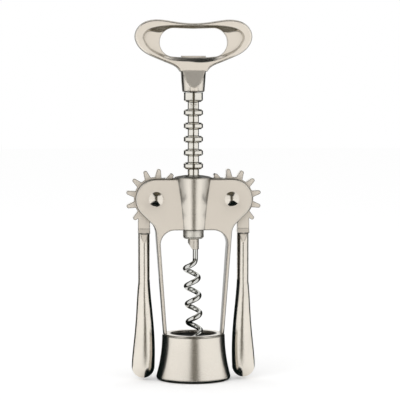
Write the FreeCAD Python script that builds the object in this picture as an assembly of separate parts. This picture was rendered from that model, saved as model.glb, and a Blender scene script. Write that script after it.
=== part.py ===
import FreeCAD, Part
import math
import os
from FreeCAD import Vector

# Wing corkscrew with a T-handle that doubles as a cap lifter.
# Millimetres. Origin at the centre of the bell's bottom rim, +Z up, width along X, front towards -Y.
# A RISE is a height above the named place below it, a DROP a height below the pivots.

# Bell that stands on the bottle
BELL_HEIGHT = 24.3
BELL_TOP_R = 16.5
BELL_WAIST_R = 17.35
BELL_WAIST_Z = 12.2
BELL_FOOT_R = 19.5
BELL_FOOT_Z = 1.9
BELL_FOOT_ROUND = 1.5
BELL_RIM_BEVEL = 0.8
BELL_FLANGE = 1.8
BELL_MOUTH_R = 12.1
BOTTLE_BORE_R = 15.1
BOTTLE_STOP_Z = 17.0
LEAD_IN_R = 16.6
LEAD_IN_DEPTH = 4.0
LINER_SEAT_STEP = 0.3
LINER_RECESS = 0.3
LINER_MOUTH_R = 10.8
LINER_LIP = 1.5

# Frame: two half shells that meet on the middle plane
PIVOT_Z = 95.15
FRAME_HALF_DEPTH = 6.0
PLATE_THICKNESS = 2.0
ARCH_DROP = 16.25
ARCH_WEB = 2.2
ARCH_WEB_HALF_WIDTH = 10.6
ARCH_FILLET = 7.5
CAVITY_GAP = 0.9
EAR_R = 10.8
EAR_LEAN = 46.0
EAR_FILLET = 8.0
OUTER_ROUND = 1.0
INNER_ROUND = 0.35
LEG_THICKNESS = 1.9
LEG_TOP_X = 19.4
LEG_TOP_DROP = 24.15
LEG_FOOT_X = 16.0
LEG_FOOT_HALF_DEPTH = 3.6
LEG_BEND_R = 90.0
CONE_TOP_R = 10.35
CONE_MIDDLE_R = 8.9
CONE_BOTTOM_R = 8.0
CROWN_STEP = 0.6
CROWN_RISE = 1.2
CROWN_ROUND = 0.6

# Gears, rivets and their mesh with the rings
RACK_PITCH = 6.95
RACK_PITCH_LINE = 5.42
RACK_LAG = 0.3
TEETH_PER_TURN = 13
TOOTH_PHASE = 0.8
TOOTH_FIRST = -1
TOOTH_LAST = 8
TOOTH_ADDENDUM = 1.35
TOOTH_DEDENDUM = 2.95
TOOTH_BASE_HALF = 1.65
TOOTH_TIP_HALF = 1.05
TOOTH_SINK = 1.5
GEAR_HALF_THICKNESS = 3.0
GEAR_BOSS_R = 4.6
SIDE_CLEARANCE = 0.12
PIVOT_R = 2.0
PIVOT_HEAD_R = 3.9
PIVOT_HEAD_HEIGHT = 1.5
PIVOT_CLEARANCE = 0.08

# Ring rack
STEM_LENGTH = 43.1
RING_R = 5.15
RING_HEIGHT = 3.5
RING_CHAMFER = 0.8
RACK_NECK_R = 3.0
RACK_NECK_LEAST = 2.0
RACK_FIT = 0.1
TOP_COLLAR_R = 5.1
TOP_COLLAR_HEIGHT = 5.0
STOP_COLLAR_R = 5.45
STOP_COLLAR_HEIGHT = 4.6
COLLAR_CHAMFER = 0.9
END_GAP = 0.15

# Spindle, cross pin and worm
SPINDLE_R = 1.9
SPINDLE_FIT = 0.06
SPINDLE_SEAT = 10.0
HUB_R = 2.9
HUB_HEIGHT = 5.4
HUB_SLANT = 3.5
HUB_WALL = 0.3
PIN_R = 0.9
PIN_RISE = 5.5
WIRE_R = 1.4
WIRE_OFFSET = 1.05
WIRE_SEAT = 2.4
WORM_R = 3.3
WORM_PITCH = 9.4
WORM_TURNS = 4.42
WORM_START_ANGLE = 206.0
WORM_LEAD_TURNS = 0.52
WORM_LEAD_RISE = 1.0
WORM_SHANK = 4.5
WORM_LEAN = 0.048
WORM_LEAN_RISE = 16.5
TAPER_TURNS = 0.55
TAPER_STEPS = 7
TAPER_BLUNTNESS = 1.6
TIP_R = 0.25

# Handle, with every rise measured from the bottom of its socket
SOCKET_BOTTOM_R = 5.9
SOCKET_TOP_R = 6.7
SOCKET_HEIGHT = 11.3
SOCKET_CHAMFER = 0.5
FACET_TIP_RISE = 2.3
LOOP_HALF_DEPTH = 3.2
LOOP_ROUND = 1.2
RECESS_DEPTH = 1.2
RECESS_BOTTOM_RISE = 15.7
RECESS_BOTTOM_SLOPE = 2.1
OPENING_RISE = 18.3
OPENING_HEIGHT = 15.3
OPENING_HALF_WIDTH = 17.7
OPENING_DIP = 0.6
OPENING_CORNER_R = 7.3
OPENING_BOW_R = 60.0
LIP_HALF_WIDTH = 6.4
LIP_HEIGHT = 1.2
LIP_HALF_DEPTH = 1.6
LIP_ROOT = 1.5
# Right half of the loop's outline, as (x, rise, width of the rim, width of the slope inside the rim)
LOOP_POINTS = (
    (7.2, 10.7, 0.0, 0.0),
    (9.4, 13.2, 0.0, 0.0),
    (13.4, 15.1, 2.0, 1.6),
    (19.0, 17.4, 2.1, 0.9),
    (25.2, 20.4, 3.0, 0.5),
    (29.2, 24.3, 4.0, 0.4),
    (30.7, 29.3, 4.4, 0.4),
    (27.3, 35.4, 4.6, 0.5),
    (19.6, 37.75, 3.8, 2.9),
    (9.5, 36.6, 1.9, 1.7),
    (0.0, 35.85, 1.2, 1.4),
)

# Lever paddle
PADDLE_OFFSET = 6.2
NECK_HALF_WIDTH = 3.1
PADDLE_TOP_DROP = 15.55
SHOULDER_DROP = 17.95
SHOULDER_HALF_DEPTH = 4.4
FACET_STEP = 0.3
FACET_HEIGHT = 3.9
FACET_DEPTH = 0.95
PADDLE_KINK_DROP = 43.65
# Oval sections of the swelling arm, as (drop, shift from the arm's line, half width, half depth)
PADDLE_SECTIONS = (
    (53.15, 0.0, 3.85, 4.5),
    (69.15, -0.2, 5.1, 4.7),
    (79.15, 0.1, 5.8, 4.85),
)
PADDLE_END_DROP = 88.15
PADDLE_END_SHIFT = 0.5
PADDLE_END_HALF_WIDTH = 6.0
PADDLE_END_HALF_DEPTH = 4.9
PADDLE_TIP_DROP = 94.25

# Worked out from the above
PITCH_RADIUS = TEETH_PER_TURN * RACK_PITCH / (2 * math.pi)
TOOTH_STEP = 360.0 / TEETH_PER_TURN
GEAR_TIP_R = PITCH_RADIUS + TOOTH_ADDENDUM
GEAR_ROOT_R = PITCH_RADIUS - TOOTH_DEDENDUM
PIVOT_X = PITCH_RADIUS + RACK_PITCH_LINE
ARCH_BOTTOM_Z = PIVOT_Z - ARCH_DROP
LEG_TOP_Z = PIVOT_Z - LEG_TOP_DROP
EAR_TOP_Z = PIVOT_Z + EAR_R
CROWN_Z = EAR_TOP_Z + CROWN_STEP + CROWN_RISE
CAVITY_HALF = FRAME_HALF_DEPTH - PLATE_THICKNESS
STEM_BORE_R = RING_R + RACK_FIT
HANDLE_BOTTOM_Z = CROWN_Z + STEM_LENGTH
RACK_TOP_Z = HANDLE_BOTTOM_Z - END_GAP
RACK_BOTTOM_Z = ARCH_BOTTOM_Z - END_GAP - STOP_COLLAR_HEIGHT
HUB_TOP_Z = RACK_BOTTOM_Z - END_GAP
HUB_BOTTOM_Z = HUB_TOP_Z - HUB_HEIGHT
SPINDLE_TOP_Z = HANDLE_BOTTOM_Z + SPINDLE_SEAT
PIN_Z = HANDLE_BOTTOM_Z + PIN_RISE
WORM_TIP_Z = HUB_BOTTOM_Z - WORM_SHANK - WORM_LEAD_RISE - WORM_PITCH * WORM_TURNS
SOCKET_TOP_Z = HANDLE_BOTTOM_Z + SOCKET_HEIGHT
FACET_TIP_Z = HANDLE_BOTTOM_Z + FACET_TIP_RISE
OPENING_BOTTOM_Z = HANDLE_BOTTOM_Z + OPENING_RISE
OPENING_TOP_Z = OPENING_BOTTOM_Z + OPENING_HEIGHT
PADDLE_X = PIVOT_X + PADDLE_OFFSET
SHOULDER_Z = PIVOT_Z - SHOULDER_DROP

# Reach of cutting shapes past everything, and how close two lengths count as equal
FAR = 300.0
NEAR = 1e-3


def polar(radius, degrees):
    """Point in the XZ plane at an angle from +X towards +Z."""
    angle = math.radians(degrees)
    return Vector(radius * math.cos(angle), 0, radius * math.sin(angle))


def box(x0, x1, y0, y1, z0, z1):
    return Part.makeBox(x1 - x0, y1 - y0, z1 - z0, Vector(x0, y0, z0))


def rounded_wire(corners):
    """Closed wire in the XZ plane through corners (x, z, radius), each rounded by a tangent arc."""
    points = [Vector(x, 0, z) for x, z, _ in corners]
    arcs = []
    ends = []
    for i, (_, _, radius) in enumerate(corners):
        corner = points[i]
        back = (points[i - 1] - corner).normalize()
        ahead = (points[(i + 1) % len(points)] - corner).normalize()
        half = back.getAngle(ahead) / 2
        reach = radius / math.tan(half)
        start = corner + back * reach
        end = corner + ahead * reach
        ends.append((start, end))
        if radius > 0:
            middle_way = (back + ahead).normalize()
            middle = corner + middle_way * (radius / math.sin(half) - radius)
            arcs.append(Part.Arc(start, middle, end).toShape())
        else:
            arcs.append(None)
    path = []
    for i, arc in enumerate(arcs):
        if arc is not None:
            path.append(arc)
        start = ends[i][1]
        end = ends[(i + 1) % len(ends)][0]
        if start.distanceToPoint(end) > NEAR:
            path.append(Part.LineSegment(start, end).toShape())
    return Part.Wire(path)


def slab(wire, y0, y1):
    """Solid of an XZ wire between two depths."""
    solid = Part.Face(wire).extrude(Vector(0, y1 - y0, 0))
    solid.translate(Vector(0, y0, 0))
    return solid


def side_prism(outline, x0, x1):
    """Solid of a closed (y, z) outline between two widths."""
    corners = [Vector(x0, y, z) for y, z in outline]
    return Part.Face(Part.makePolygon(corners + corners[:1])).extrude(Vector(x1 - x0, 0, 0))


def turned(points):
    """Solid of revolution about Z of a closed (radius, z) outline."""
    corners = [Vector(r, 0, z) for r, z in points]
    return spun(Part.makePolygon(corners + corners[:1]))


def spun(wire):
    """Solid of revolution about Z of a wire in the XZ plane."""
    return Part.Face(wire).revolve(Vector(0, 0, 0), Vector(0, 0, 1), 360)


def line_meet(p, u, q, v):
    """Where the XZ line through p along u meets the line through q along v."""
    cross = u.x * v.z - u.z * v.x
    t = ((q.x - p.x) * v.z - (q.z - p.z) * v.x) / cross
    return p + u * t


def mirrored(shape):
    return shape.mirror(Vector(0, 0, 0), Vector(1, 0, 0))


def leg_outer_x(z):
    """Outer face of the right leg at a height."""
    share = (z - BELL_HEIGHT) / (LEG_TOP_Z - BELL_HEIGHT)
    return LEG_FOOT_X + (LEG_TOP_X - LEG_FOOT_X) * share


def frame_outline():
    """Front outline of the housing plate and both legs."""
    pivot = Vector(PIVOT_X, 0, PIVOT_Z)
    lean = polar(1, -EAR_LEAN)
    crown_side = Vector(0, 0, 1)
    ear_corner = pivot + (crown_side + lean) * (EAR_R / (1 + lean.z))
    leg_foot = Vector(LEG_FOOT_X, 0, BELL_HEIGHT)
    leg_way = Vector(LEG_TOP_X - LEG_FOOT_X, 0, LEG_TOP_Z - BELL_HEIGHT)
    diagonal = Vector(-lean.z, 0, lean.x)
    hip = line_meet(ear_corner, diagonal, leg_foot, leg_way)
    inner_foot = LEG_FOOT_X - LEG_THICKNESS
    arch_x = leg_outer_x(ARCH_BOTTOM_Z) - LEG_THICKNESS
    right = [
        (ear_corner.x, ear_corner.z, EAR_R),
        (hip.x, hip.z, EAR_FILLET),
        (LEG_FOOT_X, BELL_HEIGHT, 0),
        (inner_foot, BELL_HEIGHT, 0),
        (arch_x, ARCH_BOTTOM_Z, ARCH_FILLET),
    ]
    left = [(-x, z, r) for x, z, r in reversed(right)]
    return rounded_wire(right + left)


def leg_taper():
    """Prism as deep as the frame, narrowing down the legs to the bell."""
    half = FRAME_HALF_DEPTH
    foot = LEG_FOOT_HALF_DEPTH
    prism = slab(rounded_wire([
        (foot, BELL_HEIGHT, 0),
        (half, LEG_TOP_Z, LEG_BEND_R),
        (half, CROWN_Z, 0),
        (-half, CROWN_Z, 0),
        (-half, LEG_TOP_Z, LEG_BEND_R),
        (-foot, BELL_HEIGHT, 0),
    ]), -FAR, FAR)
    prism.rotate(Vector(0, 0, 0), Vector(0, 0, 1), 90)
    return prism


def plate_edges(plate, inner):
    """Front and rear outline edges, either round the window between the legs or outside it."""
    chosen = []
    for edge in plate.Edges:
        middle = edge.valueAt((edge.FirstParameter + edge.LastParameter) / 2)
        bounds = edge.BoundBox
        runs_across = bounds.YLength > FRAME_HALF_DEPTH
        level = bounds.ZLength < NEAR and middle.z < ARCH_BOTTOM_Z - NEAR
        if runs_across or level:
            continue
        leg_middle = leg_outer_x(middle.z) - LEG_THICKNESS / 2
        in_window = middle.z < ARCH_BOTTOM_Z + NEAR and abs(middle.x) < leg_middle
        if in_window == inner:
            chosen.append(edge)
    return chosen


def plate():
    """Housing plates and legs at their full depth, with softened outlines."""
    body = slab(frame_outline(), -FRAME_HALF_DEPTH, FRAME_HALF_DEPTH).common(leg_taper())
    body = body.makeFillet(OUTER_ROUND, plate_edges(body, False))
    return body.makeFillet(INNER_ROUND, plate_edges(body, True))


def stem_cone():
    """Flared housing round the stem, with a shallow domed crown."""
    def at(r, z):
        return Vector(r, 0, z)

    side_z = CROWN_Z - CROWN_RISE
    eighth = math.radians(45)
    edge_in = CONE_TOP_R - CROWN_ROUND
    edge_low = at(CONE_TOP_R, side_z - CROWN_ROUND)
    edge_middle = edge_low + Vector(math.cos(eighth) - 1, 0, math.sin(eighth)) * CROWN_ROUND
    dome_r = (edge_in ** 2 + CROWN_RISE ** 2) / (2 * CROWN_RISE)
    dome_middle = at(edge_in / 2, CROWN_Z - dome_r + math.sqrt(dome_r ** 2 - edge_in ** 2 / 4))
    foot = at(CONE_BOTTOM_R, ARCH_BOTTOM_Z)
    waist = at(CONE_MIDDLE_R, (ARCH_BOTTOM_Z + CROWN_Z) / 2)
    return spun(Part.Wire([
        Part.Arc(foot, waist, edge_low).toShape(),
        Part.Arc(edge_low, edge_middle, at(edge_in, side_z)).toShape(),
        Part.Arc(at(edge_in, side_z), dome_middle, at(0, CROWN_Z)).toShape(),
        Part.LineSegment(at(0, CROWN_Z), at(0, ARCH_BOTTOM_Z)).toShape(),
        Part.LineSegment(at(0, ARCH_BOTTOM_Z), foot).toShape(),
    ]))


def frame_body():
    """Both half shells in one: plates with ears, stem cone and legs."""
    body = plate().fuse(stem_cone())
    cavity_floor = PIVOT_Z - GEAR_TIP_R - CAVITY_GAP
    cavity = box(-FAR, FAR, -CAVITY_HALF, CAVITY_HALF, cavity_floor, FAR)
    web_half = ARCH_WEB_HALF_WIDTH
    web = box(-web_half, web_half, -FAR, FAR, 0, ARCH_BOTTOM_Z + ARCH_WEB)
    body = body.cut(cavity.cut(web))
    body = body.cut(Part.makeCylinder(STEM_BORE_R, FAR))
    for x in (-PIVOT_X, PIVOT_X):
        body = body.cut(Part.makeCylinder(PIVOT_R, FAR, Vector(x, -FAR / 2, PIVOT_Z), Vector(0, 1, 0)))
    return body


def frame_half(body, side):
    """The front (-1) or rear (1) half shell."""
    keep = box(-FAR, FAR, min(0, side * FAR), max(0, side * FAR), -FAR, FAR)
    return body.common(keep).removeSplitter()


def bell():
    """Cast bell: a concave flare outside, a straight bottle bore, a liner seat and a flanged mouth."""
    def at(r, z):
        return Vector(r, 0, z)

    rim_z = BELL_HEIGHT - BELL_RIM_BEVEL
    flange_z = BELL_HEIGHT - BELL_FLANGE
    seat_r = BOTTLE_BORE_R + LINER_SEAT_STEP
    seat_z = BOTTLE_STOP_Z - LINER_RECESS
    flare = Part.BSplineCurve()
    flare.interpolate([at(BELL_FOOT_R, BELL_FOOT_Z), at(BELL_WAIST_R, BELL_WAIST_Z), at(BELL_TOP_R, rim_z)])
    foot_in = BELL_FOOT_R - BELL_FOOT_ROUND
    eighth = math.radians(45)
    foot_middle = at(foot_in + BELL_FOOT_ROUND * math.sin(eighth), BELL_FOOT_Z * (1 - math.cos(eighth)))
    corners = [
        at(BELL_TOP_R, rim_z),
        at(BELL_TOP_R - BELL_RIM_BEVEL, BELL_HEIGHT),
        at(BELL_MOUTH_R, BELL_HEIGHT),
        at(BELL_MOUTH_R, flange_z),
        at(seat_r, flange_z),
        at(seat_r, seat_z),
        at(BOTTLE_BORE_R, seat_z),
        at(BOTTLE_BORE_R, LEAD_IN_DEPTH),
        at(LEAD_IN_R, 0),
        at(foot_in, 0),
    ]
    edges = [flare.toShape()]
    edges += [Part.LineSegment(a, b).toShape() for a, b in zip(corners, corners[1:])]
    edges.append(Part.Arc(corners[-1], foot_middle, at(BELL_FOOT_R, BELL_FOOT_Z)).toShape())
    return spun(Part.Wire(edges))


def bell_liner():
    """Plastic ring in its seat under the bell's flange, which the bottle lip stops against."""
    top = BELL_HEIGHT - BELL_FLANGE
    outer = BOTTLE_BORE_R + LINER_SEAT_STEP
    return turned([
        (outer, BOTTLE_STOP_Z),
        (outer, top),
        (BELL_MOUTH_R, top),
        (LINER_MOUTH_R, top - LINER_LIP),
        (LINER_MOUTH_R, BOTTLE_STOP_Z + LINER_LIP),
        (LINER_MOUTH_R + LINER_LIP, BOTTLE_STOP_Z),
    ])


def pivot_rivet(x):
    """Shouldered rivet with a domed head on each face."""
    rivet = Part.makeCylinder(
        PIVOT_R, 2 * FRAME_HALF_DEPTH, Vector(x, -FRAME_HALF_DEPTH, PIVOT_Z), Vector(0, 1, 0))
    dome_r = (PIVOT_HEAD_R ** 2 + PIVOT_HEAD_HEIGHT ** 2) / (2 * PIVOT_HEAD_HEIGHT)
    reach = FRAME_HALF_DEPTH + PIVOT_HEAD_HEIGHT - dome_r
    for side in (-1, 1):
        dome = Part.makeSphere(dome_r, Vector(x, side * reach, PIVOT_Z))
        face = side * FRAME_HALF_DEPTH
        tip = side * FAR
        dome = dome.common(box(x - FAR, x + FAR, min(face, tip), max(face, tip), -FAR, FAR))
        rivet = rivet.fuse(dome)
    return rivet.removeSplitter()


def ring_heights():
    """Middles of the rings that the teeth can reach between the two collars."""
    mesh_z = PIVOT_Z + PITCH_RADIUS * math.radians(TOOTH_PHASE) - RACK_LAG
    room = RING_HEIGHT / 2 + RACK_NECK_LEAST
    lowest = RACK_BOTTOM_Z + STOP_COLLAR_HEIGHT + room
    highest = RACK_TOP_Z - TOP_COLLAR_HEIGHT - room
    first = math.ceil((lowest - mesh_z) / RACK_PITCH - 0.5)
    last = math.floor((highest - mesh_z) / RACK_PITCH - 0.5)
    return [mesh_z + (k + 0.5) * RACK_PITCH for k in range(first, last + 1)]


def ring_rack():
    """Sleeve with round rings that the gear teeth push, so it can also turn freely."""
    half = RING_HEIGHT / 2
    outline = [
        (SPINDLE_R + SPINDLE_FIT, RACK_BOTTOM_Z),
        (STOP_COLLAR_R - COLLAR_CHAMFER, RACK_BOTTOM_Z),
        (STOP_COLLAR_R, RACK_BOTTOM_Z + COLLAR_CHAMFER),
        (STOP_COLLAR_R, RACK_BOTTOM_Z + STOP_COLLAR_HEIGHT),
        (RACK_NECK_R, RACK_BOTTOM_Z + STOP_COLLAR_HEIGHT),
    ]
    for z in ring_heights():
        outline += [
            (RACK_NECK_R, z - half),
            (RING_R - RING_CHAMFER, z - half),
            (RING_R, z - half + RING_CHAMFER),
            (RING_R, z + half - RING_CHAMFER),
            (RING_R - RING_CHAMFER, z + half),
            (RACK_NECK_R, z + half),
        ]
    collar_z = RACK_TOP_Z - TOP_COLLAR_HEIGHT
    outline += [
        (RACK_NECK_R, collar_z),
        (TOP_COLLAR_R - COLLAR_CHAMFER, collar_z),
        (TOP_COLLAR_R, collar_z + COLLAR_CHAMFER),
        (TOP_COLLAR_R, RACK_TOP_Z),
        (SPINDLE_R + SPINDLE_FIT, RACK_TOP_Z),
    ]
    return turned(outline)


def cross_pin_hole():
    return Part.makeCylinder(PIN_R, 2 * FAR, Vector(-FAR, 0, PIN_Z), Vector(1, 0, 0))


def spindle():
    """Rod through the rack, with a slanted hub below that grips the worm's shank off centre."""
    rod = Part.makeCylinder(SPINDLE_R, SPINDLE_TOP_Z - HUB_BOTTOM_Z, Vector(0, 0, HUB_BOTTOM_Z))
    hub = Part.makeCylinder(HUB_R, HUB_HEIGHT, Vector(0, 0, HUB_BOTTOM_Z))
    slant_x = WIRE_OFFSET - WIRE_R - HUB_WALL
    slant = Part.makePolygon([
        Vector(slant_x, 0, HUB_BOTTOM_Z),
        Vector(-HUB_R, 0, HUB_BOTTOM_Z + HUB_SLANT),
        Vector(-2 * HUB_R, 0, HUB_BOTTOM_Z + HUB_SLANT),
        Vector(-2 * HUB_R, 0, HUB_BOTTOM_Z),
        Vector(slant_x, 0, HUB_BOTTOM_Z),
    ])
    body = rod.fuse(hub).cut(slab(slant, -FAR, FAR))
    seat = Part.makeCylinder(WIRE_R, WIRE_SEAT, Vector(WIRE_OFFSET, 0, HUB_BOTTOM_Z))
    return body.cut(seat).cut(cross_pin_hole()).removeSplitter()


def cross_pin():
    """Pin through socket and spindle, flush with the socket."""
    reach = SOCKET_BOTTOM_R
    return Part.makeCylinder(PIN_R, 2 * reach, Vector(-reach, 0, PIN_Z), Vector(1, 0, 0))


def worm_point(turn):
    """Middle of the wire, with turn counted up from the tip; the coil closes on the shank at its top."""
    angle = math.radians(WORM_START_ANGLE + 360 * turn)
    rise = WORM_PITCH * turn
    lean = WORM_LEAN * (WORM_LEAN_RISE - rise)
    coil = Vector(WORM_R * math.cos(angle) + lean, WORM_R * math.sin(angle), WORM_TIP_Z + rise)
    lead = max(0.0, (turn - WORM_TURNS) / WORM_LEAD_TURNS + 1)
    ease = lead * lead * (3 - 2 * lead)
    shank = Vector(WIRE_OFFSET, 0, coil.z)
    return coil * (1 - ease) + shank * ease + Vector(0, 0, WORM_LEAD_RISE * ease)


def worm_way(turn):
    """Direction of the wire, upwards."""
    step = 1e-4
    return (worm_point(turn + step) - worm_point(turn - step)).normalize()


def biarc(p0, t0, p1, t1):
    """Two arcs, tangent to each other, from p0 along t0 to p1 along t1."""
    chord = p1 - p0
    along = chord.dot(t0 + t1)
    bend = 2 * (1 - t0.dot(t1))
    reach = (-along + math.sqrt(along * along + bend * chord.dot(chord))) / bend
    q0 = p0 + t0 * reach
    q1 = p1 - t1 * reach
    joint = (q0 + q1) * 0.5
    arcs = []
    for start, corner, end in ((p0, q0, joint), (joint, q1, p1)):
        middle = (start + end) * 0.5
        cosine = start.distanceToPoint(middle) / start.distanceToPoint(corner)
        top = middle + (corner - middle) * (cosine / (1 + cosine))
        arcs.append(Part.Arc(start, top, end).toShape())
    return arcs


def wire_circle(turn, radius):
    """Section of the wire at a turn."""
    return Part.Wire([Part.Circle(worm_point(turn), worm_way(turn), radius).toShape()])


def worm():
    """Steel wire wound right-handed, straight in the hub above and ground to a point below."""
    quarter = 0.25
    count = round((WORM_TURNS - TAPER_TURNS) / quarter)
    turns = [TAPER_TURNS + (WORM_TURNS - TAPER_TURNS) * i / count for i in range(count + 1)]
    edges = []
    for a, b in zip(turns, turns[1:]):
        edges += biarc(worm_point(a), worm_way(a), worm_point(b), worm_way(b))
    seat_top = Vector(WIRE_OFFSET, 0, HUB_BOTTOM_Z + WIRE_SEAT)
    edges.append(Part.LineSegment(worm_point(WORM_TURNS), seat_top).toShape())
    coil = Part.Wire(edges).makePipeShell([wire_circle(TAPER_TURNS, WIRE_R)], True, False)
    rings = []
    for i in range(TAPER_STEPS + 1):
        share = i / TAPER_STEPS
        radius = TIP_R + (WIRE_R - TIP_R) * (1 - share ** TAPER_BLUNTNESS)
        rings.append(wire_circle(TAPER_TURNS * (1 - share), radius))
    return coil.fuse(Part.makeLoft(rings, True, False))


def both_sides(right):
    """Points of a right half that ends on the middle plane, followed by its mirror image."""
    return right + [Vector(-p.x, 0, p.z) for p in reversed(right[:-1])]


def loop_points():
    """Outline points of the loop, from the socket's right side over the top to its left side."""
    return both_sides([Vector(x, 0, HANDLE_BOTTOM_Z + rise) for x, rise, _, _ in LOOP_POINTS])


def handle_outline():
    """Butterfly outline of the loop, closed across the socket."""
    curve = Part.BSplineCurve()
    curve.interpolate(loop_points())
    loop = curve.toShape()
    ends = [v.Point for v in loop.Vertexes]
    return Part.Wire([loop, Part.LineSegment(ends[1], ends[0]).toShape()])


def recess_outline(y, sloped):
    """Outline of the recess at a depth: the rim's inner edge, or the floor inside the slope."""
    points = loop_points()
    inner = []
    for i, (_, _, rim, slope) in enumerate(LOOP_POINTS):
        if rim > 0:
            along = (points[i + 1] - points[i - 1]).normalize()
            inset = rim + slope if sloped else rim
            inner.append(points[i] + Vector(-along.z, 0, along.x) * inset)
    bottom = HANDLE_BOTTOM_Z + RECESS_BOTTOM_RISE + (RECESS_BOTTOM_SLOPE if sloped else 0)
    curve = Part.BSplineCurve()
    curve.interpolate([Vector(0, 0, bottom)] + both_sides(inner), PeriodicFlag=True)
    outline = Part.Wire([curve.toShape()])
    outline.translate(Vector(0, y, 0))
    return outline


def recess(side):
    """Dished recess on the front (-1) or rear (1) face, sloping in from the rim to a flat floor."""
    face = side * LOOP_HALF_DEPTH
    floor = side * (LOOP_HALF_DEPTH - RECESS_DEPTH)
    dish = Part.makeLoft([recess_outline(face, False), recess_outline(floor, True)], True, True)
    above = slab(recess_outline(0, False), min(face, 2 * face), max(face, 2 * face))
    return dish.fuse(above)


def opening_outline():
    """Finger hole, with bowed long sides and round ends."""
    w = OPENING_HALF_WIDTH
    r = OPENING_CORNER_R
    low = OPENING_BOTTOM_Z
    high = OPENING_TOP_Z
    return rounded_wire([
        (w, low + OPENING_DIP, r),
        (w, high, r),
        (0, high - OPENING_DIP, OPENING_BOW_R),
        (-w, high, r),
        (-w, low + OPENING_DIP, r),
        (0, low - OPENING_DIP, OPENING_BOW_R),
    ])


def loop_edges(solid):
    """Edges of the loop's outer outline on its front and rear faces."""
    return [
        e for e in solid.Edges
        if abs(abs(e.CenterOfMass.y) - LOOP_HALF_DEPTH) < NEAR and e.BoundBox.ZMax > OPENING_TOP_Z
    ]


def socket():
    """Round socket that tapers down to the stem, with a flat facet running up to the loop."""
    body = turned([
        (0, HANDLE_BOTTOM_Z),
        (SOCKET_BOTTOM_R - SOCKET_CHAMFER, HANDLE_BOTTOM_Z),
        (SOCKET_BOTTOM_R, HANDLE_BOTTOM_Z + SOCKET_CHAMFER),
        (SOCKET_TOP_R, SOCKET_TOP_Z),
        (0, SOCKET_TOP_Z),
    ])
    facet_share = FACET_TIP_RISE / SOCKET_HEIGHT
    facet_tip_y = SOCKET_BOTTOM_R + (SOCKET_TOP_R - SOCKET_BOTTOM_R) * facet_share
    for side in (-1, 1):
        body = body.cut(side_prism([
            (side * facet_tip_y, FACET_TIP_Z),
            (side * LOOP_HALF_DEPTH, SOCKET_TOP_Z),
            (side * FAR, SOCKET_TOP_Z),
            (side * FAR, FACET_TIP_Z),
        ], -FAR, FAR))
    return body


def handle():
    """Cast T-handle: round socket below, recessed loop with a cap-lifter lip above."""
    loop = slab(handle_outline(), -LOOP_HALF_DEPTH, LOOP_HALF_DEPTH)
    loop = loop.makeFillet(LOOP_ROUND, loop_edges(loop))
    loop = loop.cut([recess(-1), recess(1)])
    loop = loop.cut(slab(opening_outline(), -FAR, FAR))
    lip_top = OPENING_BOTTOM_Z - OPENING_DIP + LIP_HEIGHT
    lip = box(-LIP_HALF_WIDTH, LIP_HALF_WIDTH, -LIP_HALF_DEPTH, LIP_HALF_DEPTH,
              OPENING_BOTTOM_Z - LIP_ROOT, lip_top)
    body = loop.fuse([lip, socket()])
    depth = SPINDLE_TOP_Z - HANDLE_BOTTOM_Z
    body = body.cut(Part.makeCylinder(SPINDLE_R, depth, Vector(0, 0, HANDLE_BOTTOM_Z)))
    return body.cut(cross_pin_hole()).removeSplitter()


def oval(drop, shift, half_width, half_depth):
    """Level oval section of the right lever, always starting on its outer side."""
    squeeze = FreeCAD.Matrix()
    squeeze.scale(half_width, half_depth, 1)
    squeeze.move(Vector(PADDLE_X + shift, 0, PIVOT_Z - drop))
    return Part.Wire([Part.makeCircle(1.0).transformGeometry(squeeze).Edges[0]])


def lever_paddle():
    """Oval arm that swells into the thumb paddle and ends round."""
    neck = (0, NECK_HALF_WIDTH, SHOULDER_HALF_DEPTH)
    end = (PADDLE_END_SHIFT, PADDLE_END_HALF_WIDTH, PADDLE_END_HALF_DEPTH)
    upper = Part.makeLoft([oval(PADDLE_TOP_DROP, *neck), oval(PADDLE_KINK_DROP, *neck)], True, True)
    sections = [oval(PADDLE_KINK_DROP, *neck)]
    sections += [oval(*section) for section in PADDLE_SECTIONS]
    sections.append(oval(PADDLE_END_DROP, *end))
    lower = Part.makeLoft(sections, True, False)
    end_z = PIVOT_Z - PADDLE_END_DROP
    stretch = FreeCAD.Matrix()
    stretch.scale(PADDLE_END_HALF_WIDTH, PADDLE_END_HALF_DEPTH, PADDLE_TIP_DROP - PADDLE_END_DROP)
    stretch.move(Vector(PADDLE_X + PADDLE_END_SHIFT, 0, end_z))
    tip = Part.makeSphere(1.0).transformGeometry(stretch).common(box(-FAR, FAR, -FAR, FAR, -FAR, end_z))
    return upper.fuse([lower, tip])


def shoulder_wedges():
    """Full-width bevels on both faces, which end below in a step down to the oval arm."""
    top_z = PIVOT_Z - PADDLE_TOP_DROP
    wedges = []
    for side in (-1, 1):
        plate_y = side * GEAR_HALF_THICKNESS
        full_y = side * SHOULDER_HALF_DEPTH
        wedges.append(side_prism(
            [(plate_y, top_z), (full_y, SHOULDER_Z), (plate_y, SHOULDER_Z)],
            PADDLE_X - NECK_HALF_WIDTH, PADDLE_X + NECK_HALF_WIDTH))
    return wedges


def shoulder_cuts():
    """Bevel from the gear plate out to the paddle, and the shield-shaped facet below it."""
    top_z = PIVOT_Z - PADDLE_TOP_DROP
    facet_z = SHOULDER_Z - FACET_STEP
    facet_low = facet_z - FACET_HEIGHT
    cuts = []
    for side in (-1, 1):
        plate_y = side * GEAR_HALF_THICKNESS
        full_y = side * SHOULDER_HALF_DEPTH
        facet_y = side * (SHOULDER_HALF_DEPTH - FACET_DEPTH)
        far_y = side * FAR
        bevel = [(plate_y, top_z), (full_y, SHOULDER_Z), (far_y, SHOULDER_Z), (far_y, top_z)]
        facet = [(facet_y, facet_z), (full_y, facet_low), (far_y, facet_low), (far_y, facet_z)]
        cuts += [side_prism(bevel, 0, FAR), side_prism(facet, 0, FAR)]
    return cuts


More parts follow.
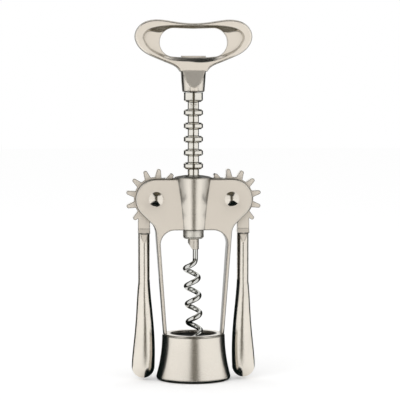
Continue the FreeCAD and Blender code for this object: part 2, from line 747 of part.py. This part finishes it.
def gear_tooth(degrees):
    """One tooth with straight flanks and a rounded tip, sunk into the gear's body."""
    tip = GEAR_TIP_R - TOOTH_TIP_HALF
    root = GEAR_ROOT_R - TOOTH_SINK
    flare = (TOOTH_BASE_HALF - TOOTH_TIP_HALF) / (tip - GEAR_ROOT_R)
    root_half = TOOTH_BASE_HALF + flare * TOOTH_SINK
    corners = [
        Vector(root, 0, -root_half),
        Vector(tip, 0, -TOOTH_TIP_HALF),
        Vector(tip, 0, TOOTH_TIP_HALF),
        Vector(root, 0, root_half),
    ]
    edges = [
        Part.LineSegment(corners[0], corners[1]).toShape(),
        Part.Arc(corners[1], Vector(GEAR_TIP_R, 0, 0), corners[2]).toShape(),
        Part.LineSegment(corners[2], corners[3]).toShape(),
        Part.LineSegment(corners[3], corners[0]).toShape(),
    ]
    tooth = slab(Part.Wire(edges), -GEAR_HALF_THICKNESS, GEAR_HALF_THICKNESS)
    tooth.rotate(Vector(0, 0, 0), Vector(0, 1, 0), -degrees)
    return tooth


def right_lever():
    """One casting: gear sector with hub bosses, flat neck and paddle."""
    half = GEAR_HALF_THICKNESS
    disc = Part.makeCylinder(GEAR_ROOT_R, 2 * half, Vector(0, -half, 0), Vector(0, 1, 0))
    boss_half = CAVITY_HALF - SIDE_CLEARANCE
    boss = Part.makeCylinder(GEAR_BOSS_R, 2 * boss_half, Vector(0, -boss_half, 0), Vector(0, 1, 0))
    teeth = [gear_tooth(180 - TOOTH_PHASE - k * TOOTH_STEP) for k in range(TOOTH_FIRST, TOOTH_LAST + 1)]
    gear = disc.fuse([boss] + teeth)
    gear.translate(Vector(PIVOT_X, 0, PIVOT_Z))
    neck = box(PADDLE_X - NECK_HALF_WIDTH, PADDLE_X + NECK_HALF_WIDTH, -half, half, SHOULDER_Z, PIVOT_Z)
    paddle = lever_paddle()
    for cut in shoulder_cuts():
        paddle = paddle.cut(cut)
    lever = gear.fuse([neck, paddle] + shoulder_wedges())
    bore_r = PIVOT_R + PIVOT_CLEARANCE
    bore = Part.makeCylinder(bore_r, FAR, Vector(PIVOT_X, -FAR / 2, PIVOT_Z), Vector(0, 1, 0))
    return lever.cut(bore).removeSplitter()


def main():
    os.makedirs("parts", exist_ok=True)
    lever = right_lever()
    frame = frame_body()
    nodes = {
        "front_frame_half": frame_half(frame, -1),
        "rear_frame_half": frame_half(frame, 1),
        "bell": bell(),
        "bell_liner": bell_liner(),
        "left_pivot_rivet": pivot_rivet(-PIVOT_X),
        "right_pivot_rivet": pivot_rivet(PIVOT_X),
        "ring_rack": ring_rack(),
        "spindle": spindle(),
        "cross_pin": cross_pin(),
        "worm": worm(),
        "handle": handle(),
        "left_lever": mirrored(lever),
        "right_lever": lever,
    }
    for name, shape in nodes.items():
        print(name, shape.isValid(), len(shape.Solids), round(shape.Volume, 1))
        shape.exportStep("parts/" + name + ".step")


main()
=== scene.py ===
import math

import bpy
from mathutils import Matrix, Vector

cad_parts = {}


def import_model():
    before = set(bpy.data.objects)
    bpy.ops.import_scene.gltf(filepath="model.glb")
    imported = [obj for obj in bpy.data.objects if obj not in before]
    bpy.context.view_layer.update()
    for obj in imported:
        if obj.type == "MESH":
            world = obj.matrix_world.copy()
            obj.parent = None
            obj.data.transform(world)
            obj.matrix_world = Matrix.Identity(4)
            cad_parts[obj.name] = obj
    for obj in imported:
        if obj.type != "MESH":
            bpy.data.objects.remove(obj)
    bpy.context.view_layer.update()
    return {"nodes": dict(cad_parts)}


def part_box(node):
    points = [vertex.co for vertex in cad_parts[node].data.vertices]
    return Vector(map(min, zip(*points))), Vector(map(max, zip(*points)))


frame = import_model()

MM = 0.001

# Camera, in metres and degrees
CAMERA_DISTANCE = 0.970
CAMERA_AZIMUTH = -4.5
CAMERA_HEIGHT = 0.151
AIM = Vector((0.0035, 0.0, 0.0944))
FOCAL_MM = 166.8
SENSOR_MM = 36.0
CLIP_START = 0.01

# Studio
FLOOR_SIZE = 8.0
FLOOR_GREY = 0.9
FLOOR_ROUGHNESS = 0.9
FLOOR_GLOW = 0.22
WORLD_DIFFUSE = 0.85
KEY_POWER = 3.0
KEY_SIZE = 0.9
KEY_PLACE = Vector((-0.5, -0.9, 1.1))
KEY_AIM = Vector((0.0, 0.0, 0.1))

# Places on the object, from the frame
BELL_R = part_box("bell")[1].x
HANDLE_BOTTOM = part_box("handle")[0].z
HANDLE_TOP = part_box("handle")[1].z
HOUSING_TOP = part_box("front_frame_half")[1].z
RACK_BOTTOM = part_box("ring_rack")[0].z
RIVET_LOW, RIVET_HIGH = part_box("right_pivot_rivet")
PIVOT_X = (RIVET_LOW.x + RIVET_HIGH.x) / 2

# Card colours
BLACK = (0.004, 0.007, 0.007, 1)
WHITE = (1.0, 1.0, 1.0, 1)
OLIVE = (0.10, 0.09, 0.065, 1)

# Slit in front, which the metal shows as its olive stripe
SLIT_ANGLE = 14.0
SLIT_FLOOR_ANGLE = 12.0
SLIT_NEAR = 0.06
SLIT_DISTANCE = 1.5
SLIT_TOP = 1.9

# Flags on both sides, which round metal shows as its black edges
FLAG_FIRST = 110.0
FLAG_LAST = 149.0
FLAG_NEAR = 0.03
FLAG_DISTANCE = 0.6
FLAG_TOP = 1.0

# Cards between the bell and the levers, of which the front stretch is lower
GAP_FRONT = -8.0 * MM
GAP_STEP = -3.5 * MM
GAP_BACK = 12.0 * MM
GAP_TOP = 52.0 * MM
GAP_FRONT_TOP = 25.0 * MM

# Cards close below the rivets, from their heads
RIVET_CARD_SHIFT = 1.4 * MM
RIVET_CARD_HALF = 4.6 * MM
RIVET_CARD_REACH = 11.5 * MM
RIVET_CARD_TUCK = 1.2 * MM
RIVET_CARD_DROP = 0.45 * MM

# Card overhead
ROOF_HALF = 0.5
ROOF_NEAR = -1.3
ROOF_FAR = -0.2
ROOF_HEIGHT = 0.85

# Card behind the crown of the housing
CROWN_CARD_HALF = 12.0 * MM
CROWN_CARD_DEPTH = 20.0 * MM
CROWN_CARD_LIFT = 0.9 * MM
CROWN_CARD_HEIGHT = 9.7 * MM

# Card below the handle
HANDLE_CARD_HALF = 35.0 * MM
HANDLE_CARD_NEAR = -60.0 * MM
HANDLE_CARD_FAR = -7.0 * MM
HANDLE_CARD_DROP = 7.05 * MM

# Cards on the floor
CARD_LIFT = 0.6 * MM
FOOT_CARD_LIFT = 0.1 * MM
FOOT_CARD_MARGIN = 6.5 * MM
FOOT_CARD_SIDES = 36

# Depths from the middle plane, and heights, at which the castings change finish
PLATE_FACE = 6.05 * MM
SHOULDER_FACE = 4.5 * MM
SHOULDER_BOTTOM = 72.4 * MM
SOCKET_FACE = 6.2 * MM

# Middle of the handle's loop, on whose inner faces the painted dark reflection is kept light
LOOP_HEIGHT = HANDLE_TOP - 11.6 * MM
LOOP_INSIDE_PAINT_SHARE = 0.3

# Foot of the rack, which is matt
RACK_FOOT = RACK_BOTTOM + 5.85 * MM
RACK_FOOT_SOFT = 0.1 * MM
RACK_FOOT_ROUGHNESS = 0.5

# Metals and plastic
NICKEL = (0.78, 0.73, 0.65)
BRIGHT_NICKEL = (0.82, 0.79, 0.72)
STEEL = (0.66, 0.66, 0.63)
# Colour of the painted dark reflection and painted shade along edges, in corners and on steep faces
PAINTED_DARK_COLOUR = (0.022, 0.024, 0.020)
BLASTED = (0.765, 0.70, 0.61)
BLASTED_METALLIC = 0.4
LINER_BLACK = (0.012, 0.012, 0.012)

# How softly a finish changes with a face's direction, and where an edge's painted dark reflection and
# painted shade starts and is full
FACING_SOFT = 0.025
RIM_SOFT = 0.34
OUTWARD_SOFT = 0.5 * MM
EDGE_START = 0.9995
EDGE_FULL = 0.96
EDGE_SAMPLES = 6
EDGE_PAINTED_DARK = 0.9

# Stretch of the noise that is used, and how deep its relief is
NOISE_LOW = 0.3
NOISE_HIGH = 0.7
RELIEF_HEIGHT = 0.1 * MM


def compass(azimuth, distance, height):
    """Point round the object, azimuth 0 being the photograph's side."""
    turn = math.radians(azimuth)
    return (math.sin(turn) * distance, -math.cos(turn) * distance, height)


def camera():
    """Camera at the photograph's viewing angle."""
    data = bpy.data.cameras.new("camera")
    data.lens = FOCAL_MM
    data.sensor_width = SENSOR_MM
    data.clip_start = CLIP_START
    view = bpy.data.objects.new("camera", data)
    bpy.context.collection.objects.link(view)
    view.location = compass(CAMERA_AZIMUTH, CAMERA_DISTANCE, CAMERA_HEIGHT)
    view.rotation_euler = (AIM - view.location).to_track_quat("-Z", "Y").to_euler()
    bpy.context.scene.camera = view


def seen_rays(tree):
    """1 for camera, mirror and glass rays, 0 for the rest."""
    nodes, links = tree.nodes, tree.links
    path = nodes.new("ShaderNodeLightPath")
    total = path.outputs["Is Camera Ray"]
    for kind in ("Is Glossy Ray", "Is Transmission Ray"):
        add = nodes.new("ShaderNodeMath")
        add.operation = "ADD"
        add.use_clamp = True
        links.new(total, add.inputs[0])
        links.new(path.outputs[kind], add.inputs[1])
        total = add.outputs[0]
    return total


def world():
    """White surroundings that light the object evenly."""
    sky = bpy.data.worlds.new("studio")
    bpy.context.scene.world = sky
    sky.use_nodes = True
    tree = sky.node_tree
    tree.nodes.clear()
    out = tree.nodes.new("ShaderNodeOutputWorld")
    mix = tree.nodes.new("ShaderNodeMixShader")
    soft = tree.nodes.new("ShaderNodeBackground")
    soft.inputs["Color"].default_value = WHITE
    soft.inputs["Strength"].default_value = WORLD_DIFFUSE
    plain = tree.nodes.new("ShaderNodeBackground")
    plain.inputs["Color"].default_value = WHITE
    plain.inputs["Strength"].default_value = 1.0
    tree.links.new(seen_rays(tree), mix.inputs[0])
    tree.links.new(soft.outputs[0], mix.inputs[1])
    tree.links.new(plain.outputs[0], mix.inputs[2])
    tree.links.new(mix.outputs[0], out.inputs[0])


def floor():
    """Pale floor that renders white away from the object and keeps its shadow."""
    bpy.ops.mesh.primitive_plane_add(size=FLOOR_SIZE)
    ground = bpy.context.object
    ground.name = "floor"
    material = bpy.data.materials.new("floor")
    material.use_nodes = True
    shader = material.node_tree.nodes["Principled BSDF"]
    shader.inputs["Base Color"].default_value = (FLOOR_GREY, FLOOR_GREY, FLOOR_GREY, 1)
    shader.inputs["Roughness"].default_value = FLOOR_ROUGHNESS
    shader.inputs["Specular IOR Level"].default_value = 0.0
    shader.inputs["Emission Color"].default_value = WHITE
    shader.inputs["Emission Strength"].default_value = FLOOR_GLOW
    ground.data.materials.append(material)


def lights():
    """Broad soft lamp from the front and above."""
    data = bpy.data.lights.new("key", "AREA")
    data.shape = "RECTANGLE"
    data.size = KEY_SIZE
    data.size_y = KEY_SIZE
    data.energy = KEY_POWER
    key = bpy.data.objects.new("key", data)
    key.location = KEY_PLACE
    key.rotation_euler = (KEY_AIM - KEY_PLACE).to_track_quat("-Z", "Y").to_euler()
    key.visible_glossy = False
    bpy.context.collection.objects.link(key)


def card_material(name, colour, one_sided):
    """Flat colour that glows, and if one-sided only from its front."""
    material = bpy.data.materials.new(name)
    material.use_nodes = True
    nodes, links = material.node_tree.nodes, material.node_tree.links
    nodes.clear()
    glow = nodes.new("ShaderNodeEmission")
    glow.inputs["Color"].default_value = colour
    out = nodes.new("ShaderNodeOutputMaterial")
    if not one_sided:
        links.new(glow.outputs[0], out.inputs[0])
        return material
    side = nodes.new("ShaderNodeNewGeometry")
    clear = nodes.new("ShaderNodeBsdfTransparent")
    mix = nodes.new("ShaderNodeMixShader")
    links.new(side.outputs["Backfacing"], mix.inputs[0])
    links.new(glow.outputs[0], mix.inputs[1])
    links.new(clear.outputs[0], mix.inputs[2])
    links.new(mix.outputs[0], out.inputs[0])
    return material


def card(name, corners, colour, one_sided=False):
    """Flat card that only reflections see."""
    mesh = bpy.data.meshes.new(name)
    mesh.from_pydata(corners, [], [range(len(corners))])
    mesh.materials.append(card_material(name, colour, one_sided))
    obj = bpy.data.objects.new(name, mesh)
    bpy.context.collection.objects.link(obj)
    obj.visible_camera = False
    obj.visible_diffuse = False
    obj.visible_shadow = False
    obj.visible_transmission = False


def upright_card(name, first, last, distance, top, colour):
    """Card standing round the object between two azimuths."""
    ends = ((first, 0.0), (last, 0.0), (last, top), (first, top))
    card(name, [compass(azimuth, distance, height) for azimuth, height in ends], colour)


def floor_card(name, first, last, near, far, colour):
    """Card on the floor between two azimuths and two distances."""
    ends = ((first, near), (first, far), (last, far), (last, near))
    card(name, [compass(azimuth, distance, CARD_LIFT) for azimuth, distance in ends], colour)


def level_card(name, middle, half_width, near, far, height, colour=BLACK):
    """Level rectangle in front of the object, between two depths."""
    left = middle - half_width
    right = middle + half_width
    ends = ((left, near), (right, near), (right, far), (left, far))
    card(name, [(x, y, height) for x, y in ends], colour)


def gap_card(name, side, near, far, top, one_sided=False):
    """Upright card between the bell and a lever, whose front is towards the bell."""
    ends = ((near, CARD_LIFT), (near, top), (far, top), (far, CARD_LIFT))
    if side < 0:
        ends = ends[::-1]
    card(name, [(side * PIVOT_X, y, z) for y, z in ends], BLACK, one_sided)


def crown_card():
    """Upright card behind the housing, which its crown shows as a dark rim."""
    low = HOUSING_TOP + CROWN_CARD_LIFT
    high = low + CROWN_CARD_HEIGHT
    left = -CROWN_CARD_HALF
    right = CROWN_CARD_HALF
    ends = ((left, low), (right, low), (right, high), (left, high))
    card("crown_card", [(x, CROWN_CARD_DEPTH, z) for x, z in ends], BLACK)


def foot_card():
    """Round card under the bell's foot."""
    radius = BELL_R + FOOT_CARD_MARGIN
    step = 360 / FOOT_CARD_SIDES
    rim = [compass(i * step, radius, FOOT_CARD_LIFT) for i in range(FOOT_CARD_SIDES)]
    card("foot_card", rim, BLACK)


def side_cards(side, name):
    """Cards of one side: flags, gap cards and the card below the rivet."""
    first = side * FLAG_FIRST
    last = side * FLAG_LAST
    upright_card("flag_card_" + name, first, last, FLAG_DISTANCE, FLAG_TOP, BLACK)
    floor_card("flag_floor_card_" + name, first, last, FLAG_NEAR, FLAG_DISTANCE, BLACK)
    gap_card("gap_card_" + name, side, GAP_STEP, GAP_BACK, GAP_TOP)
    gap_card("gap_front_card_" + name, side, GAP_FRONT, GAP_STEP, GAP_FRONT_TOP, one_sided=True)
    middle = side * (PIVOT_X + RIVET_CARD_SHIFT)
    near = RIVET_LOW.y - RIVET_CARD_REACH
    far = RIVET_LOW.y + RIVET_CARD_TUCK
    level_card("rivet_card_" + name, middle, RIVET_CARD_HALF, near, far, RIVET_LOW.z - RIVET_CARD_DROP)


def surroundings():
    """Dark cards whose reflections draw the metal's stripes and black edges."""
    upright_card("slit_card", -SLIT_ANGLE, SLIT_ANGLE, SLIT_DISTANCE, SLIT_TOP, OLIVE)
    floor_card("slit_floor_card", -SLIT_FLOOR_ANGLE, SLIT_FLOOR_ANGLE, SLIT_NEAR, SLIT_DISTANCE, OLIVE)
    side_cards(-1, "left")
    side_cards(1, "right")
    level_card("roof_card", 0, ROOF_HALF, ROOF_NEAR, ROOF_FAR, ROOF_HEIGHT)
    crown_card()
    height = HANDLE_BOTTOM - HANDLE_CARD_DROP
    level_card("handle_card", 0, HANDLE_CARD_HALF, HANDLE_CARD_NEAR, HANDLE_CARD_FAR, height, OLIVE)
    foot_card()


def tone(colour, factor=1.0):
    """Colour made lighter or darker."""
    return tuple(min(1.0, c * factor) for c in colour) + (1,)


class Finish:
    """A material that is put together step by step."""

    def __init__(self, name, metallic=1.0):
        self.material = bpy.data.materials.new(name)
        self.material.use_nodes = True
        self.tree = self.material.node_tree
        self.shader = self.tree.nodes["Principled BSDF"]
        self.shader.inputs["Metallic"].default_value = metallic
        self.coordinates = self.add("ShaderNodeTexCoord")

    def add(self, kind, **settings):
        """New node with settings."""
        node = self.tree.nodes.new(kind)
        for key, value in settings.items():
            setattr(node, key, value)
        return node

    def put(self, value, socket):
        """Links an output or sets a plain value."""
        if isinstance(value, bpy.types.NodeSocket):
            self.tree.links.new(value, socket)
        else:
            socket.default_value = value

    def assign(self, name, value):
        """Links or sets one of the shader's sockets."""
        self.put(value, self.shader.inputs[name])

    def math(self, operation, a, b=0.0):
        """Sum, product or comparison of two values."""
        node = self.add("ShaderNodeMath", operation=operation)
        self.put(a, node.inputs[0])
        self.put(b, node.inputs[1])
        return node.outputs[0]

    def ramp(self, value, low, high, to_low=0.0, to_high=1.0):
        """Value carried from one range to another, and held at its ends."""
        node = self.add("ShaderNodeMapRange")
        self.put(value, node.inputs["Value"])
        node.inputs["From Min"].default_value = low
        node.inputs["From Max"].default_value = high
        self.put(to_low, node.inputs["To Min"])
        self.put(to_high, node.inputs["To Max"])
        return node.outputs["Result"]

    def spread(self, noise, least=0.0, most=1.0):
        """Noise carried to a range."""
        return self.ramp(noise, NOISE_LOW, NOISE_HIGH, least, most)

    def blend(self, share, a, b):
        """Mix of two colours."""
        node = self.add("ShaderNodeMix", data_type="RGBA")
        self.put(share, node.inputs["Factor"])
        self.put(a, node.inputs["A"])
        self.put(b, node.inputs["B"])
        return node.outputs["Result"]

    def cloudy(self, colour, scale, least, most):
        """Colour that is a little darker and lighter in slow patches."""
        patches = self.spread(self.noise(scale, detail=3.0))
        return self.blend(patches, tone(colour, least), tone(colour, most))

    def noise(self, scale, detail, stretch=None):
        """Noise in the object's own place, which may be stretched."""
        vector = self.coordinates.outputs["Object"]
        if stretch:
            mapping = self.add("ShaderNodeMapping")
            mapping.inputs["Scale"].default_value = stretch
            self.put(vector, mapping.inputs["Vector"])
            vector = mapping.outputs["Vector"]
        node = self.add("ShaderNodeTexNoise")
        node.inputs["Scale"].default_value = scale
        node.inputs["Detail"].default_value = detail
        self.put(vector, node.inputs["Vector"])
        return node.outputs["Fac"]

    def split(self, output):
        """X, Y and Z of the surface's place or normal."""
        node = self.add("ShaderNodeSeparateXYZ")
        self.put(self.coordinates.outputs[output], node.inputs[0])
        return node.outputs

    def facing(self):
        """1 on faces towards the front or the rear, 0 on those at right angles to it."""
        return self.math("ABSOLUTE", self.split("Normal")["Y"])

    def flat_share(self, depth, tilt, lowest):
        """1 on faces within a tilt of the front, up to a depth and down to a height, 0 elsewhere."""
        least = math.cos(math.radians(tilt))
        flat = self.ramp(self.facing(), least - FACING_SOFT, least)
        place = self.split("Object")
        inside = self.math("LESS_THAN", self.math("ABSOLUTE", place["Y"]), depth)
        above = self.math("GREATER_THAN", place["Z"], lowest)
        return self.math("MULTIPLY", flat, self.math("MULTIPLY", inside, above))

    def rim_share(self, steep):
        """1 on faces that face the front by no more than a share, 0 on those that face it well."""
        return self.ramp(self.facing(), steep + RIM_SOFT, steep)

    def outward_share(self, height):
        """1 on faces turned away from the axis at a height, 0 on those turned towards it."""
        normal = self.split("Normal")
        place = self.split("Object")
        across = self.math("MULTIPLY", normal["X"], place["X"])
        rise = self.math("SUBTRACT", place["Z"], height)
        along = self.math("MULTIPLY", normal["Z"], rise)
        return self.ramp(self.math("ADD", across, along), -OUTWARD_SOFT, OUTWARD_SOFT)

    def edge_share(self, width):
        """1 on sharp edges and in corners, 0 away from them, with the softened normal."""
        bevel = self.add("ShaderNodeBevel", samples=EDGE_SAMPLES)
        bevel.inputs["Radius"].default_value = width
        true = self.add("ShaderNodeNewGeometry")
        dot = self.add("ShaderNodeVectorMath", operation="DOT_PRODUCT")
        self.put(bevel.outputs[0], dot.inputs[0])
        self.put(true.outputs["Normal"], dot.inputs[1])
        return self.ramp(dot.outputs["Value"], EDGE_START, EDGE_FULL), bevel.outputs[0]

    def relief(self, height, strength, normal=None):
        """Fine relief on top of a normal."""
        node = self.add("ShaderNodeBump")
        node.inputs["Strength"].default_value = strength
        node.inputs["Distance"].default_value = RELIEF_HEIGHT
        self.put(height, node.inputs["Height"])
        if normal is not None:
            self.put(normal, node.inputs["Normal"])
        self.assign("Normal", node.outputs["Normal"])


def casting(name, smooth, edge, blasted=0.0, depth=0.0, tilt=8.0, lowest=-1.0, bright=1.0,
            rim=0.0, steep=0.60, loop_height=0.0):
    """Plated casting with painted dark reflection and painted shade along its edges and in its corners.

    Its rounded faces have the smooth roughness. Faces within a tilt of the front, up to a depth and
    down to a lowest height, are blasted. Steep faces get painted dark reflection by the rim share. The
    painted dark reflection is kept light on what looks into a loop.
    """
    metal = Finish(name)
    fine = metal.noise(scale=6000.0, detail=2.0)
    uneven = metal.spread(fine, least=0.88, most=1.12)
    rough = metal.math("MULTIPLY", uneven, smooth)
    body = metal.cloudy(NICKEL, scale=70.0, least=0.96, most=1.03)
    if blasted > 0:
        flat = metal.flat_share(depth, tilt, lowest)
        rough = metal.ramp(flat, 0.0, 1.0, rough, metal.math("MULTIPLY", uneven, blasted))
        metal.assign("Metallic", metal.ramp(flat, 0.0, 1.0, 1.0, BLASTED_METALLIC))
        body = metal.blend(flat, body, tone(BLASTED, bright))
    edges, normal = metal.edge_share(edge)
    # Painted dark reflection along edges and painted shade in corners
    painted_dark = metal.math("MULTIPLY", edges, EDGE_PAINTED_DARK)
    if rim > 0:
        # Painted dark reflection on steep faces
        painted_dark = metal.math("MAXIMUM", painted_dark, metal.math("MULTIPLY", metal.rim_share(steep), rim))
    if loop_height > 0:
        # Painted dark reflection kept light on faces that look into the loop
        loop_paint_share = metal.ramp(metal.outward_share(loop_height), 0.0, 1.0, LOOP_INSIDE_PAINT_SHARE, 1.0)
        painted_dark = metal.math("MULTIPLY", painted_dark, loop_paint_share)
    # The painted dark reflection and shade go into the base colour
    metal.assign("Base Color", metal.blend(painted_dark, body, tone(PAINTED_DARK_COLOUR)))
    metal.assign("Roughness", rough)
    metal.relief(fine, strength=0.03, normal=normal)
    return metal.material


def turned_metal(name, smooth, edge, painted_edge_dark):
    """Lathe-turned metal with fine rings round its axis, matt at the foot."""
    metal = Finish(name)
    rings = metal.noise(scale=900.0, detail=2.0, stretch=(0.15, 0.15, 8.0))
    body = metal.cloudy(BRIGHT_NICKEL, scale=90.0, least=0.95, most=1.03)
    edges, normal = metal.edge_share(edge)
    # Painted dark reflection along edges and painted shade in corners, in the base colour
    metal.assign("Base Color", metal.blend(metal.math("MULTIPLY", edges, painted_edge_dark), body, tone(PAINTED_DARK_COLOUR)))
    height = metal.split("Object")["Z"]
    rough = metal.ramp(height, RACK_FOOT - RACK_FOOT_SOFT, RACK_FOOT, RACK_FOOT_ROUGHNESS, smooth)
    uneven = metal.spread(rings, least=0.85, most=1.15)
    metal.assign("Roughness", metal.math("MULTIPLY", uneven, rough))
    metal.relief(rings, strength=0.05, normal=normal)
    return metal.material


def polished(name, colour, smooth):
    """Polished steel with faint drawing lines and hairline scratches."""
    metal = Finish(name)
    scratches = metal.noise(scale=500.0, detail=4.0, stretch=(1, 1, 0.2))
    metal.assign("Base Color", metal.cloudy(colour, scale=120.0, least=0.93, most=1.0))
    uneven = metal.spread(scratches, least=0.7, most=1.4)
    metal.assign("Roughness", metal.math("MULTIPLY", uneven, smooth))
    metal.relief(scratches, strength=0.02)
    return metal.material


def plastic(name, colour, rough):
    """Moulded plastic with a fine pebble."""
    stuff = Finish(name, metallic=0.0)
    pebble = stuff.noise(scale=2500.0, detail=2.0)
    stuff.assign("Base Color", stuff.blend(pebble, tone(colour, 0.8), tone(colour, 1.2)))
    stuff.assign("Roughness", stuff.spread(pebble, least=rough * 0.9, most=rough * 1.1))
    stuff.relief(pebble, strength=0.1)
    return stuff.material


def dress(material, *names):
    """Gives CAD nodes a material."""
    for name in names:
        node = frame["nodes"][name]
        node.data.materials.clear()
        node.data.materials.append(material)


def materials():
    """All the finishes of the object."""
    housing = casting("frame_nickel", smooth=0.29, edge=1.0 * MM, blasted=0.55, depth=PLATE_FACE, rim=0.85)
    dress(housing, "front_frame_half", "rear_frame_half")
    levers = casting("lever_nickel", smooth=0.21, edge=0.7 * MM,
                     blasted=0.5, depth=SHOULDER_FACE, tilt=33.0, lowest=SHOULDER_BOTTOM)
    dress(levers, "left_lever", "right_lever")
    handle = casting("handle_nickel", smooth=0.24, edge=0.8 * MM,
                     blasted=0.40, depth=SOCKET_FACE, tilt=15.0, bright=1.22,
                     rim=0.6, steep=0.42, loop_height=LOOP_HEIGHT)
    dress(handle, "handle")
    dress(casting("bell_nickel", smooth=0.28, edge=1.0 * MM), "bell")
    dress(casting("hub_nickel", smooth=0.5, edge=0.25 * MM), "spindle")
    dress(turned_metal("turned_nickel", smooth=0.11, edge=0.7 * MM, painted_edge_dark=0.95), "ring_rack")
    dress(polished("polished_steel", STEEL, smooth=0.09), "worm", "cross_pin")
    dress(polished("polished_rivet", NICKEL, smooth=0.18), "left_pivot_rivet", "right_pivot_rivet")
    dress(plastic("liner_plastic", LINER_BLACK, rough=0.45), "bell_liner")


bpy.context.scene.view_settings.view_transform = "Standard"
camera()
world()
floor()
lights()
surroundings()
materials()
